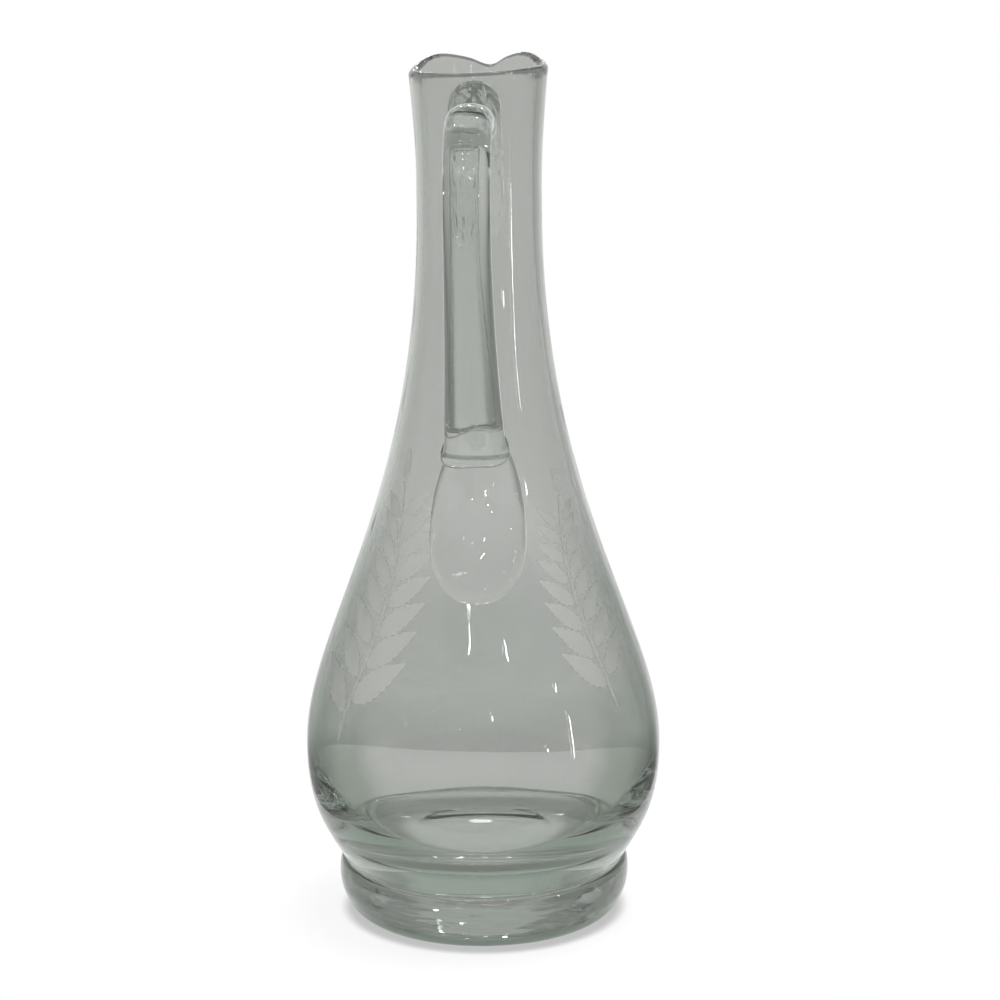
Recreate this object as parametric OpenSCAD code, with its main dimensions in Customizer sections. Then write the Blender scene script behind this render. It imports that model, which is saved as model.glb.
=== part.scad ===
// Hand-blown glass bar carafe: a round bowl drawn up into a long neck with a pulled pouring lip,
// a solid glass foot, and a pulled rod handle that is welded to the shoulder through a flat pad.
// Millimetres, +Z up. The axis of the bowl is Z and the foot stands on Z = 0.
// The handle is on the -Y side and the pouring lip on the +Y side.

/* [Bowl] */
// Outer radius of the bowl where it is widest
belly_r = 55.9; // [45:0.1:75]
// Height of the widest place
belly_z = 55; // [45:0.5:75]
// How far the belly's roundness runs up towards the neck
belly_lift = 36.5; // [20:0.5:60]
// How far the belly's roundness runs down towards the waist
belly_drop = 20; // [10:0.5:28]
// Wall of the bowl at its widest place
wall = 2.8; // [2:0.1:5]
// Height of the flat floor inside
floor_z = 26.5; // [24:0.5:34]
// Radius of the flat floor inside
floor_r = 36.5; // [24:0.5:40]

/* [Neck and lip] */
// Outer radius of the neck where it is narrowest
neck_r = 19.2; // [16:0.1:26]
// Height of the narrowest place
neck_z = 225; // [205:1:235]
// How far the neck's straightness runs down towards the bowl
neck_drop = 93; // [50:1:110]
// Wall of the neck
neck_wall = 2.6; // [1.8:0.1:4]
// Wall of the fire-polished rim
rim_wall = 3.4; // [2:0.1:5]
// Outer radius of the rim
rim_r = 21.2; // [19:0.1:28]
// Height of the rim, below its round edge
rim_z = 266.1; // [255:0.1:285]
// How far the pouring lip is pulled outwards
lip_reach = 3; // [0:0.1:8]
// How far the pouring lip is pulled down
lip_drop = 2.2; // [0:0.1:5]
// Half width of the pouring lip, as an angle about the axis
lip_spread = 11; // [8:1:30]
// Height of the lobe on the left of the pouring lip, seen from the handle
left_lobe_rise = 2.9; // [0:0.1:6]
// Half width of the left lobe, as an angle about the axis
left_lobe_spread = 30; // [15:1:35]
// Angle from the pouring lip to the left lobe
left_lobe_at = 48; // [28:1:55]
// Height of the lobe on the right of the pouring lip
right_lobe_rise = 2.4; // [0:0.1:6]
// Half width of the right lobe, as an angle about the axis
right_lobe_spread = 24; // [15:1:35]
// Angle from the pouring lip to the right lobe
right_lobe_at = 40; // [28:1:55]
// Turn of the hand-pulled lip out of the handle's plane
lip_turn = 5.5; // [-10:0.5:10]
// Slope of the hand-finished rim across the carafe
rim_slope = 2.4; // [-5:0.1:5]

/* [Foot] */
// Radius of the flat that the foot stands on
base_r = 38.3; // [30:0.1:50]
// Radius of the foot where it is widest
foot_r = 46; // [40:0.1:60]
// Height of the foot's widest place
foot_bulge_z = 13; // [8:0.1:15]
// Height of the crease between foot and bowl
waist_z = 18.1; // [16:0.1:20]
// Radius of the crease
waist_r = 44.3; // [38:0.1:46]
// Radius of the polished hollow under the foot
hollow_r = 25; // [15:0.5:28]
// Depth of the polished hollow
hollow_depth = 2.4; // [1:0.1:4]

/* [Handle] */
// Height where the middle of the rod meets the neck
rod_z = 248.5; // [238:0.5:256]
// How far the rod rises on its way out from the neck
rod_rise = 9; // [0:0.5:14]
// How far the rod would rise in its bend before it turns down
grip_rise = 14; // [8:0.5:20]
// Distance from the neck's skin to the middle of the rod at its farthest
grip_out = 37.5; // [30:0.5:50]
// Height where the rod has turned down
grip_z = 234; // [225:1:240]
// Width of the rod at the top
rod_w = 14; // [10:0.1:18]
// Extra width of the rod at its lower end
rod_w_grow = 6; // [0:0.1:10]
// Thickness of the rod
rod_t = 11; // [8:0.1:15]
// Height where the rod's middle line ends inside the bowl's wall
rod_end_z = 147; // [138:0.5:152]

/* [Handle weld] */
// Height of the middle of the weld's round top, on the neck
weld_z = 258; // [250:0.1:258]
// Width of the weld at its round top
weld_w = 15.6; // [12:0.1:16]
// Height where the weld, drawn down the neck, begins to round off
weld_low_z = 226; // [220:0.5:235]
// Width of the weld there
weld_low_w = 18.2; // [14:0.1:24]
// Length of the weld's round lower end
weld_drop = 10; // [5:0.1:15]
// Thickness of the weld at the rod
weld_t = 7; // [4:0.1:9]
// Part of the thickness that the weld loses towards its lower end
weld_thin = 0.6; // [0:0.05:0.9]

/* [Handle pad] */
// Height of the pad's widest place
pad_z = 127.4; // [122:0.1:134]
// Width of the pad
pad_w = 30.2; // [20:0.1:36]
// Length of the pad below its widest place
pad_drop = 17.3; // [10:0.1:22]
// Length of the pad above its widest place
pad_rise = 38; // [25:0.1:45]
// Thickness of the pad over the bowl's skin
pad_t = 6; // [3:0.1:9]
// How far the pad's thickest place lies above its widest one
pad_lean = 7; // [0:0.1:12]
// How far the hand-set pad sits beside the handle's plane
pad_shift = 1; // [-3:0.1:3]

/* [Hidden] */
$fn = 96;

glass = [0.62, 0.66, 0.62, 0.5];

// Steps along one curve of the profile, and round the lip, the rod and the domes
curve_steps = 20;
lip_steps = 12;
rim_steps = 6;
lip_sides = 72;
rod_steps = 22;
rod_sides = 32;
dome_sides = 48;
dome_rings = 8;
weld_arc = 16;
weld_side = 7;
// The lip starts this far inside the neck's skin, and runs this far down into the neck
lip_inset = 0.06;
lip_overlap = 0.5;
// Depth of the domes' backs inside the wall, before they are cut to the wall. The rod's ends lie twice as deep
sink = 2;
// How far the rod's section and the pad's outline are filled out beyond an ellipse, or drawn in
rod_fill = 0.9;
pad_fill_up = 1.3;
pad_fill_down = 0.88;
// Part of the lip's reach by which the lobes beside it are pinched in
pinch = 0.2;

// A point on a cubic curve through the ends p[0] and p[3]
function bend(p, t) =
    pow(1 - t, 3) * p[0] + 3 * t * pow(1 - t, 2) * p[1] + 3 * t * t * (1 - t) * p[2] + pow(t, 3) * p[3];
function curve(p, steps, first = 0) = [for (i = [first:steps]) bend(p, i / steps)];
function bump(a, spread) = exp(-pow(a / spread, 2));
function ease(t) = t * t * (3 - 2 * t);
function filled(v, power) = sign(v) * pow(abs(v), power);

// Outside of the vessel, from the crease up to the narrowest place of the neck
low_skin = curve([
    [waist_r, waist_z],
    [waist_r + (belly_r - waist_r) * 0.58, waist_z + (belly_z - waist_z) * 0.32],
    [belly_r, belly_z - belly_drop],
    [belly_r, belly_z]
], curve_steps);
high_skin = curve([
    [belly_r, belly_z],
    [belly_r, belly_z + belly_lift],
    [neck_r, neck_z - neck_drop],
    [neck_r, neck_z]
], 2 * curve_steps, 1);
skin = concat(low_skin, high_skin);

// Inside of the vessel, from the floor's edge up to the narrowest place of the neck
low_bore = curve([
    [floor_r, floor_z],
    [floor_r + (belly_r - floor_r) * 0.2, floor_z],
    [belly_r - wall, belly_z - (belly_z - floor_z) * 0.62],
    [belly_r - wall, belly_z]
], curve_steps);
high_bore = curve([
    [belly_r - wall, belly_z],
    [belly_r - wall, belly_z + belly_lift],
    [neck_r - neck_wall, neck_z - neck_drop],
    [neck_r - neck_wall, neck_z]
], 2 * curve_steps, 1);
bore = concat(low_bore, high_bore);

// Lip, from the narrowest place of the neck to the rim
lip_skin = curve([
    [neck_r, neck_z],
    [neck_r, neck_z + (rim_z - neck_z) * 0.3],
    [rim_r - (rim_r - neck_r) * 1.1, neck_z + (rim_z - neck_z) * 0.4],
    [rim_r, rim_z]
], lip_steps);
edge_r = rim_wall / 2;
lip_edge = [for (i = [1:rim_steps - 1])
    [rim_r - edge_r + edge_r * cos(180 * i / rim_steps), rim_z + edge_r * sin(180 * i / rim_steps)]];

// Outer radius of the round part of the vessel at any height
skin_table = [for (p = concat(skin, lip_skin)) [p[1], p[0]]];
function skin_r(z) = lookup(z, skin_table);

// Angle from the pouring lip, and what the lip adds there to the radius and the height
function from_lip(a) = let (d = a - (90 - lip_turn)) d > 180 ? d - 360 : d < -180 ? d + 360 : d;
function left_lobe(d) = bump(d - left_lobe_at, left_lobe_spread);
function right_lobe(d) = bump(d + right_lobe_at, right_lobe_spread);
function lip_out(d) = lip_reach * (bump(d, lip_spread) - pinch * (left_lobe(d) + right_lobe(d)));
function lip_up(d) = left_lobe_rise * left_lobe(d) + right_lobe_rise * right_lobe(d)
    - lip_drop * bump(d, lip_spread);
function lip_wall(z) = neck_wall + (rim_wall - neck_wall) * ease((z - neck_z) / (rim_z - neck_z));

// One ring of the lip: a point of its profile carried round the axis
function lip_ring(p, inset) = [for (i = [0:lip_sides - 1])
    let (
        a = 360 * i / lip_sides,
        d = from_lip(a),
        e = ease(max(0, min(1, (p[1] - neck_z) / (rim_z - neck_z)))),
        r = p[0] + inset + e * lip_out(d)
    )
    [r * cos(a), r * sin(a), p[1] + e * (lip_up(d) + r * cos(a) * tan(rim_slope))]];

// Faces of a stack of rings of n points each, with m rings
function walls(n, m) = [for (j = [0:m - 2]) for (i = [0:n - 1]) for (half = [0, 1])
    let (k = (i + 1) % n)
    half == 0 ? [j * n + i, j * n + n + k, j * n + k] : [j * n + i, j * n + n + i, j * n + n + k]];
function joined(n, m) = [for (i = [0:n - 1]) for (half = [0, 1])
    let (k = (i + 1) % n, j = (m - 1) * n)
    half == 0 ? [j + i, k, j + k] : [j + i, i, k]];
function fan(n, first, middle, up) = [for (i = [0:n - 1])
    let (k = (i + 1) % n)
    up ? [middle, first + k, first + i] : [middle, first + i, first + k]];
function flat(rings) = [for (r = rings) for (p = r) p];

module lip() {
    start = [neck_r, neck_z - lip_overlap];
    outside = concat([lip_ring(start, -lip_inset), lip_ring(lip_skin[0], -lip_inset)],
        [for (i = [1:lip_steps]) lip_ring(lip_skin[i], 0)]);
    edge = [for (p = lip_edge) lip_ring(p, 0)];
    inside = concat([for (i = [lip_steps:-1:1]) lip_ring(lip_skin[i], -lip_wall(lip_skin[i][1]))],
        [lip_ring(lip_skin[0], lip_inset - neck_wall), lip_ring(start, lip_inset - neck_wall)]);
    rings = concat(outside, edge, inside);
    polyhedron(flat(rings), concat(walls(lip_sides, len(rings)), joined(lip_sides, len(rings))));
}

// The outer shapes of the round part and of the lip without their inside, to cut the welds by
module round_envelope() {
    rotate_extrude() polygon(concat([[0, waist_z]], skin, [[0, neck_z]]));
}

module lip_envelope() {
    rings = concat([lip_ring([neck_r, neck_z - lip_overlap], -lip_inset), lip_ring(lip_skin[0], -lip_inset)],
        [for (i = [1:lip_steps]) lip_ring(lip_skin[i], 0)]);
    low = len(rings) * lip_sides;
    ends = [[0, 0, neck_z - lip_overlap], [0, 0, rim_z]];
    polyhedron(concat(flat(rings), ends), concat(walls(lip_sides, len(rings)),
        fan(lip_sides, 0, low, false), fan(lip_sides, low - lip_sides, low + 1, true)));
}

module vessel() {
    color(glass) union() {
        rotate_extrude() polygon(concat([[0, waist_z]], skin, [for (i = [len(bore) - 1:-1:0]) bore[i]],
            [[0, floor_z]]));
        lip();
    }
}

module foot() {
    side = concat(
        curve([
            [base_r, 0],
            [base_r + (foot_r - base_r) * 0.45, 0],
            [foot_r, foot_bulge_z * 0.45],
            [foot_r, foot_bulge_z]
        ], curve_steps),
        curve([
            [foot_r, foot_bulge_z],
            [foot_r, foot_bulge_z + (waist_z - foot_bulge_z) * 0.6],
            [waist_r + (foot_r - waist_r) * 0.7, waist_z],
            [waist_r, waist_z]
        ], curve_steps / 2, 1));
    hollow_sphere_r = (hollow_r * hollow_r + hollow_depth * hollow_depth) / (2 * hollow_depth);
    color(glass) difference() {
        rotate_extrude() polygon(concat([[0, 0]], side, [[0, waist_z]]));
        translate([0, 0, hollow_depth - hollow_sphere_r]) sphere(hollow_sphere_r);
    }
}

// Middle line of the rod, as points [y, z] from the weld under the rim to its lower end
grip_y = -(neck_r + grip_out);
rod_y = -(skin_r(rod_z) - 2 * sink);
rod_end_y = -(skin_r(rod_end_z) - 2 * sink);
grip_top = [[rod_y, rod_z], [(rod_y + grip_y) / 2, rod_z + rod_rise], [grip_y, rod_z + grip_rise],
    [grip_y, grip_z]];
grip_side = [[grip_y, grip_z], [grip_y, grip_z - (grip_z - rod_end_z) * 0.25],
    [grip_y + (rod_end_y - grip_y) * 0.42, rod_end_z + (grip_z - rod_end_z) * 0.42], [rod_end_y, rod_end_z]];
rod_line = concat(curve(grip_top, rod_steps), curve(grip_side, rod_steps, 1));
rod_last = len(rod_line) - 1;

// One ring of the rod, square to its middle line
function rod_ring(i) = let (
        p = rod_line[i],
        ahead = rod_line[min(i + 1, rod_last)] - rod_line[max(i - 1, 0)],
        side = [-ahead[1], ahead[0]] / norm(ahead),
        w = rod_w + rod_w_grow * pow(max(0, (grip_z - p[1]) / (grip_z - rod_end_z)), 2)
    )
    [for (k = [0:rod_sides - 1])
        let (a = -360 * k / rod_sides, o = side * (rod_t / 2 * filled(sin(a), rod_fill)))
        [w / 2 * filled(cos(a), rod_fill), p[0] + o[0], p[1] + o[1]]];

module rod() {
    rings = [for (i = [0:rod_last]) rod_ring(i)];
    count = len(rings) * rod_sides;
    ends = [for (p = [rod_line[0], rod_line[rod_last]]) [0, p[0], p[1]]];
    polyhedron(concat(flat(rings), ends), concat(walls(rod_sides, len(rings)),
        fan(rod_sides, 0, count, false), fan(rod_sides, count - rod_sides, count + 1, true)));
}

// Outlines of the weld and of the pad on the vessel's skin, as points [s, z], s along the skin sideways
weld_outline = concat(
    [for (k = [0:weld_arc]) let (a = 180 - 180 * k / weld_arc)
        [weld_w / 2 * cos(a), weld_z + weld_w / 2 * sin(a)]],
    [for (k = [1:weld_side]) let (t = k / (weld_side + 1))
        [(weld_w + (weld_low_w - weld_w) * t) / 2, weld_z + (weld_low_z - weld_z) * t]],
    [for (k = [0:weld_arc]) let (a = -180 * k / weld_arc)
        [weld_low_w / 2 * cos(a), weld_low_z + weld_drop * sin(a)]],
    [for (k = [1:weld_side]) let (t = 1 - k / (weld_side + 1))
        [-(weld_w + (weld_low_w - weld_w) * t) / 2, weld_z + (weld_low_z - weld_z) * t]]);
pad_outline = [for (k = [0:dome_sides - 1]) let (a = -360 * k / dome_sides, up = sin(a) > 0)
    [pad_shift + pad_w / 2 * filled(cos(a), up ? pad_fill_up : pad_fill_down),
        pad_z + (up ? pad_rise : pad_drop) * sin(a)]];

// Thickness of the weld at any height
function weld_thick(z) = weld_t * (1 - weld_thin * ease(max(0, min(1, (rod_z - z) / (rod_z - weld_low_z)))));

// A dome of glass over the skin: its outline, its summit [s, z] and its thickness at every height
function dome_point(p, h) = let (r = skin_r(p[1]), a = 180 * p[0] / (PI * r))
    [(r + h) * sin(a), -(r + h) * cos(a), p[1]];
function dome_ring(outline, summit, thick, g) = [for (q = outline)
    let (p = summit + (q - summit) * sin(g)) dome_point(p, thick(p[1]) * cos(g))];

module dome(outline, summit, thick) {
    rings = concat([for (j = [1:dome_rings - 1]) dome_ring(outline, summit, thick, 90 * j / dome_rings)],
        [[for (q = outline) dome_point(q, -sink)]]);
    n = len(outline);
    count = len(rings) * n;
    ends = [dome_point(summit, thick(summit[1])), dome_point(summit, -sink)];
    polyhedron(concat(flat(rings), ends), concat(walls(n, len(rings)),
        fan(n, 0, count, false), fan(n, count - n, count + 1, true)));
}

module weld_blank() {
    dome(weld_outline, [0, rod_z], function (z) weld_thick(z));
}

module pad_blank() {
    dome(pad_outline, [pad_shift, pad_z + pad_lean], function (z) pad_t);
}

module handle() {
    color(glass) difference() {
        union() {
            rod();
            weld_blank();
        }
        round_envelope();
        lip_envelope();
        pad_blank();
    }
}

module handle_pad() {
    color(glass) difference() {
        pad_blank();
        round_envelope();
    }
}

vessel();
foot();
handle();
handle_pad();
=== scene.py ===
import math

import bmesh
import bpy
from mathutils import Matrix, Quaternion, Vector


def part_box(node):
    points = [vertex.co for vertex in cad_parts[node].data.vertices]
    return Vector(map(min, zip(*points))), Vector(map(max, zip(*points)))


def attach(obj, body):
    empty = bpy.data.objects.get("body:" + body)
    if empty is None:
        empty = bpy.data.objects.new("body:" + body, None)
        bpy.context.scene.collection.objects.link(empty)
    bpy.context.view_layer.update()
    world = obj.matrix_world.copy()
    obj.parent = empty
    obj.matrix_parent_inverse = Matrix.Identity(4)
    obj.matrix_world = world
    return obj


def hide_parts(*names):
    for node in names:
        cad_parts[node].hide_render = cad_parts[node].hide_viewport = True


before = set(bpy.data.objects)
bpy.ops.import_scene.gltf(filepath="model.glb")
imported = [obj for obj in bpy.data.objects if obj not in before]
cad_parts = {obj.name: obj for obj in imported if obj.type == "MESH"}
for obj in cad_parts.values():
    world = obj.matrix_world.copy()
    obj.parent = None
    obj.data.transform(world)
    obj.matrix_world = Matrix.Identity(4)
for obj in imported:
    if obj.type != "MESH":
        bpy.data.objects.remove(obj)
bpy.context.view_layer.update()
bpy.ops.object.select_all(action="DESELECT")
scene = bpy.context.scene
scene.view_settings.view_transform = "Standard"

# Sizes of the carafe, in metres and degrees. The widest places are read from the parts in model.glb.
# Bowl: its widest place, how far its curve is drawn up and down there, its wall and its inner floor
BELLY_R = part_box("vessel")[1].x
BELLY_Z = 0.055
BELLY_LIFT = 0.0365
BELLY_DROP = 0.020
WALL = 0.0028
FLOOR_Z = 0.0265
FLOOR_R = 0.0365
# Neck: its narrowest place, how far its curve is drawn down there, and its wall
NECK_R = 0.0192
NECK_Z = 0.225
NECK_DROP = 0.093
NECK_WALL = 0.0026
# Rim, with the pouring lip and a lobe on each side of it.
# A lobe is its rise, its turn from the lip and its spread
RIM_WALL = 0.0034
RIM_R = 0.0212
RIM_Z = 0.2661
LIP_REACH = 0.003
LIP_DROP = 0.0022
LIP_SPREAD = 11.0
LIP_TURN = 5.5
LEFT_LOBE = (0.0029, 48.0, 30.0)
RIGHT_LOBE = (0.0024, -40.0, 24.0)
LOBE_PINCH = 0.2
RIM_SLOPE = 2.4
# Foot: the ring it stands on, its bulge, the crease under the bowl and the hollow underneath
BASE_R = 0.0383
FOOT_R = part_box("foot")[1].x
FOOT_BULGE_Z = 0.013
WAIST_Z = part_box("foot")[1].z
WAIST_R = 0.0443
HOLLOW_R = 0.025
HOLLOW_DEPTH = 0.0024
# Handle: where the rod starts, how it bends over to the grip, its width and thickness, and where it ends
ROD_Z = 0.2485
ROD_RISE = 0.009
GRIP_RISE = 0.014
GRIP_OUT = 0.0375
GRIP_Z = 0.234
ROD_W = 0.014
ROD_W_GROW = 0.006
ROD_T = 0.011
ROD_FILL = 0.9
ROD_END_Z = 0.147
# Weld under the rim, drawn down into a tail that thins out
WELD_Z = 0.258
WELD_W = 0.0156
WELD_LOW_Z = 0.226
WELD_LOW_W = 0.0182
WELD_DROP = 0.010
WELD_T = 0.007
WELD_THIN = 0.6
# Pad on the shoulder. Its outline is filled out below and drawn to a point above.
# Weld and pad sink into the wall
PAD_Z = 0.1274
PAD_W = 0.0302
PAD_DROP = 0.0173
PAD_RISE = 0.038
PAD_T = 0.006
PAD_LEAN = 0.007
PAD_SHIFT = 0.001
PAD_FILL = (0.88, 1.3)
SINK = 0.002
# Bead where the rod is pressed on the pad. The rod has none above a height
BEAD_OUT = 0.0011
BEAD_HEIGHT = 0.0027
BEAD_BELOW = 0.18

# How the curves leave and reach their ends, as parts of the way between them
BASE_PULL = (0.58, 0.32)
BORE_PULL = (0.2, 0.62)
LIP_PULL = (0.3, 1.1, 0.4)
FOOT_PULL = 0.45
FOOT_TOP_PULL = (0.6, 0.7)
BEND_PULL = 0.5
FALL_PULL = (0.25, 0.42)
# How fine the shapes are. The rings of the rod lie closer in the last part of its fall
SIDES = 176
SKIN_STEPS = 30
LIP_STEPS = 26
RIM_STEPS = 12
FLOOR_STEPS = 6
FOOT_STEPS = (24, 14)
HOLLOW_STEPS = 12
TABLE_STEPS = (60, 40)
ROD_SIDES = 64
ROD_STEPS = (48, 32, 60)
CLOSE_PART = 0.2
PAD_TRIES = 12
WELD_STEPS = (32, 24)
PAD_SIDES = 96
DOME_STEPS = 24
LEAF_STEPS = 16
STEM_STEPS = 40
# Edges sharper than this stay sharp, and a face turned this far up or down is level
SHARP = 40
FOOT_SHARP = 30
LEVEL = 0.9

# Etched sprays: turn round the axis, height of the stem's foot, sway of the stem
# and length of the lowest leaves
SPRAYS = ((-48, 0.076, 0.005, 0.022), (53, 0.084, -0.004, 0.018))
LEAF_PAIRS = 8
LEAF_LESS = 0.9
LEAF_TURN = 50.0
# Parts of a leaf's length: its stalk and its half width, its bend, the way up to the next leaf
# and from left to right
LEAF_STALK = 0.012
LEAF_W = 0.19
LEAF_BEND = 0.1
LEAF_STEP = 0.5
LEAF_STAGGER = 0.08
LEAF_NOTCH = 0.84
LEAF_TAPER = 0.75
STEM_W = 0.0005
LEAF_OFF = 0.0012
TIP_OFF = 0.0006
ETCH_OUT = 0.00005
ETCH_IN = 0.00003

# A weld is let this deep into the piece that carries it, and two weld faces keep this apart
WELD_DEPTH = 0.00015
WELD_GAP = 0.00001
WELDS_ABOVE = 0.1
# Points this close are one: on the axis of a turned piece, and along a seam that was cut
AXIS_MERGE = 0.000001
SEAM_MERGE = 0.0000001

# Stage: its half width, its near and far edge, how far it lies under the foot, its shade
# and its lift towards white
STAGE_SIDE = 0.1
STAGE_NEAR = -0.11
STAGE_FAR = 0.125
STAGE_GAP = 0.0002
STAGE_SHADE = 0.16
STAGE_LIFT = 0.88
# A painted contact shadow where the foot stands close to the stage: from the inner to the outer edge of a
# ring
SHADOW_RING_IN = (0.024, 0.032)
SHADOW_RING_OUT = (0.042, 0.047)
SHADOW_RING_TONE = 0.55
# Inside the ring, painted light: the stage is lighter under the middle of the foot
CENTRE_LIGHT_TONE = 1.1
# Tones of the studio. Each pair is where one tone runs into the next, as a part of the direction looked in.
# Straight behind the carafe it is the white that the camera sees
WHITE = (1.0, 1.0, 1.0)
GREY_GREEN = 1.01
BEHIND_EDGE = (0.86, 0.94)
BACK_EDGE = (0.3, 0.8)
SIDES_TONE = 0.55
FRONT_EDGE = (-0.5, 0.1)
FRONT_TONE = 0.33
ACROSS = (-0.45, 0.45)
RIGHT_TONE = 0.72
LOW_EDGE = (-0.31, -0.14)
LOW_ACROSS = (0.2, 0.45)
LOW_TONE = 0.62
LOW_SIDES_TONE = 0.55
TOP_EDGE = (0.1, 0.32)
TOP_TONE = 0.95
SKY_EDGE = (0.37, 0.43)
SKY_TONE = 0.62
UNDER_EDGE = (-0.55, -0.3)
UNDER_TONE = 0.45
LIGHT_LEVEL = 0.33
# High up on the left of the dark front
CORNER_TONE = 0.12
CORNER_DEPTH = (-0.3, 0.0)
CORNER_ACROSS = (-0.35, -0.05)
# Upright folds in the studio's cloth: how many, how they run into each other, and how dark
FOLDS = (45, 45, 3)
FOLD_EDGE = (0.35, 0.65)
FOLD_TONE = 0.86

# Lamps. The key lamp stands above, and the others stand round the carafe at one reach
KEY_PLACE = (0.25, 0.12, 1.65)
KEY_AIM = (0, 0, 0.05)
KEY_SIZE = 1.0
KEY_WATTS = 22
LAMP_REACH = 2.0
LAMP_AIM = (0, 0, 0.1)
# Small lamps, as turn from the handle's side and rise: before the carafe, behind it and above it.
# The high ones are stronger
SPOTS = ((-8, 24), (22, 23), (58, 15), (10, 14), (45, 1), (178, 21), (184, 23), (190, 22), (171, 24),
         (-14, 40), (-6, 44), (4, 41), (-10, 33), (-30, 52), (20, 60), (75, 55), (150, 62), (-110, 58))
SPOT_SIZE = 0.045
SPOT_WATTS = 0.26
HIGH_RISE = 50
HIGH_WATTS = 0.9
# A narrow upright lamp makes a streak beside the handle
STREAK = (63, 2)
STREAK_SIZE = (0.02, 0.5)
STREAK_WATTS = 1.3

# Camera: its turn from the handle's side, height, reach and pitch, its focal length in widths
# of the picture, and how far it is panned and rolled
CAMERA_TURN = 3.8
CAMERA_HEIGHT = 0.3716
CAMERA_REACH = 1.0
CAMERA_PITCH = 13.43
CAMERA_SENSOR = 36
CAMERA_FOCAL = 3.2956
CAMERA_PAN = 0.0185
CAMERA_ROLL = 0.00745

# Glass: its grey, which is painted shade for the grey surroundings that it shows, and what a metre of it
# takes from each colour
GLASS_IOR = 1.5
ROOM_SHADE_GREY = (0.222, 0.229, 0.211)
GREEN_CAST = (6.6, 4.8, 6.2)
# How much lighter or darker than the vessel's painted grey a piece's painted grey is
FOOT_PAINTED_GREY = 0.68
ROD_PAINTED_GREY = 1.12
ETCH_PAINTED_GREY = 1.8
ETCH_ROUGH = 0.4
# A run that is over before the carafe starts, and one that only starts past it
ALWAYS = (-0.2, -0.1)
NEVER = (0.4, 0.5)
# Places with painted shade or light on looks from the camera: from one part of the turn away to another,
# coming in and going out at heights, the grey, and for one the depth it comes in at. Thick glass is darker
# where it turns away, partly for its longer path and partly as painted shade. The bowl has painted shade, so
# it is darker than the neck, its edges more; the groove over the bead has a painted shadow line, the weld's
# top painted shade, and the pad a painted pale edge
THICK_PAINTED_SHADE = (0.45, 0.52, 0.46)
THICK_VESSEL_SHADE = (0.17, 0.34), (0.024, 0.0275), (0.06, 0.095), THICK_PAINTED_SHADE
BOWL_PAINTED_SHADE = ALWAYS, (0.062, 0.078), (0.105, 0.14), (0.68, 0.71, 0.69)
BOWL_EDGE_PAINTED_SHADE = (0.38, 0.7), (0.03, 0.05), (0.1, 0.15), (0.4, 0.44, 0.41)
THICK_FOOT_SHADE = (0.28, 0.52), ALWAYS, NEVER, THICK_PAINTED_SHADE
THICK_ROD_SHADE = (0.3, 0.6), ALWAYS, (0.150, 0.164), THICK_PAINTED_SHADE
GROOVE_PAINTED_SHADE = ALWAYS, (0.1531, 0.1537), (0.1545, 0.1552), (0.36, 0.41, 0.37)
WELD_TOP_PAINTED_SHADE = ALWAYS, (0.248, 0.256), NEVER, (0.6, 0.64, 0.61), (-0.031, -0.027)
PAD_EDGE_PAINTED_LIGHT = (0.32, 0.6), ALWAYS, NEVER, (1.32, 1.32, 1.3)
# Waves in the skin: how many across, in depth and up in a metre, and how high.
# They come in between two heights
WAVE_LEVEL = (0.06, 0.1)
VESSEL_WAVES = (130, 130, 9), 0.00018
FOOT_WAVES = (40, 40, 280), 0.0003
ROD_WAVES = (150, 150, 25), 0.0001
PAD_WAVES = (130, 130, 60), 0.0006
# Lumpy places, from one depth and between two heights, so fine and so many times as high as the waves:
# the weld's drawn-down end and the edge of the rim
WELD_LUMPS = (-0.034, -0.029), (0.212, 0.222), (0.268, 0.278), (280, 280, 110), 55.0
RIM_LUMPS = ALWAYS, (0.2645, 0.2675), NEVER, (380, 380, 380), 1.6


# Curves that the shapes are drawn from

def bend(p, t):
    """A point on a cubic curve between p[0] and p[3]."""
    u = 1 - t
    return tuple(u ** 3 * a + 3 * u * u * t * b + 3 * u * t * t * c + t ** 3 * d for a, b, c, d in zip(*p))


def curve(p, steps, first=0):
    """Points along a cubic curve."""
    return [bend(p, i / steps) for i in range(first, steps + 1)]


def bump(a, spread):
    """1 in the middle, falling off to both sides."""
    return math.exp(-((a / spread) ** 2))


def ease(t):
    """From 0 to 1 with a soft start and end."""
    t = min(1.0, max(0.0, t))
    return t * t * (3 - 2 * t)


def skin_curve(steps):
    """Outside of the vessel from the crease to the narrowest place of the neck, as radius and height."""
    low = [(WAIST_R, WAIST_Z),
           (WAIST_R + (BELLY_R - WAIST_R) * BASE_PULL[0], WAIST_Z + (BELLY_Z - WAIST_Z) * BASE_PULL[1]),
           (BELLY_R, BELLY_Z - BELLY_DROP),
           (BELLY_R, BELLY_Z)]
    high = [(BELLY_R, BELLY_Z), (BELLY_R, BELLY_Z + BELLY_LIFT),
            (NECK_R, NECK_Z - NECK_DROP), (NECK_R, NECK_Z)]
    return curve(low, steps) + curve(high, 2 * steps, 1)


def bore_curve(steps):
    """Inside of the vessel from the floor's edge to the narrowest place of the neck."""
    low = [(FLOOR_R, FLOOR_Z),
           (FLOOR_R + (BELLY_R - FLOOR_R) * BORE_PULL[0], FLOOR_Z),
           (BELLY_R - WALL, BELLY_Z - (BELLY_Z - FLOOR_Z) * BORE_PULL[1]),
           (BELLY_R - WALL, BELLY_Z)]
    high = [(BELLY_R - WALL, BELLY_Z), (BELLY_R - WALL, BELLY_Z + BELLY_LIFT),
            (NECK_R - NECK_WALL, NECK_Z - NECK_DROP), (NECK_R - NECK_WALL, NECK_Z)]
    return curve(low, steps) + curve(high, 2 * steps, 1)


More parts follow.
